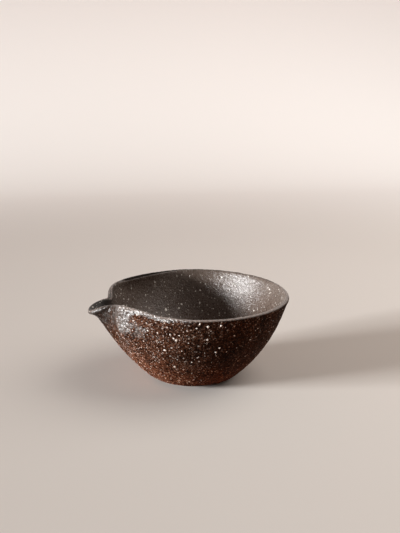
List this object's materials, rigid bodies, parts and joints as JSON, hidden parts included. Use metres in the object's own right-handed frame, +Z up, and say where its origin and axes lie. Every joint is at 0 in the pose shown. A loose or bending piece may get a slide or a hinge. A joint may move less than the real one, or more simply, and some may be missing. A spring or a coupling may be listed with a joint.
{
  "type": "katakuchi sake pourer",
  "caption": "Dark speckled stoneware bowl on a low foot ring, with pinched shoulders and an open spout that pours sake over a drip edge.",
  "frame": {"origin": "middle of the foot ring, on the surface that the bowl stands on", "axes": "+Z up, the spout points along -X, the bowl is mirror symmetric about the plane Y = 0"},
  "size_m": [0.1341, 0.1228, 0.0597],
  "materials": {
    "bare_clay": "matt iron-dark stoneware with pale feldspar grains",
    "spout_clay": "matt iron-dark stoneware with pale feldspar grains",
    "slip": "matt slip of the same clay",
    "foot_clay": "bare brown stoneware",
    "satin_glaze": "satin charcoal glaze with fine pale specks"
  },
  "bodies": {
    "root": {"bowl_body": "bare_clay", "pouring_spout": "spout_clay", "spout_slip_seam": "slip", "foot_ring": "foot_clay", "foot_slip_seam": "slip", "inner_glaze": "satin_glaze"}
  },
  "joints": []
}
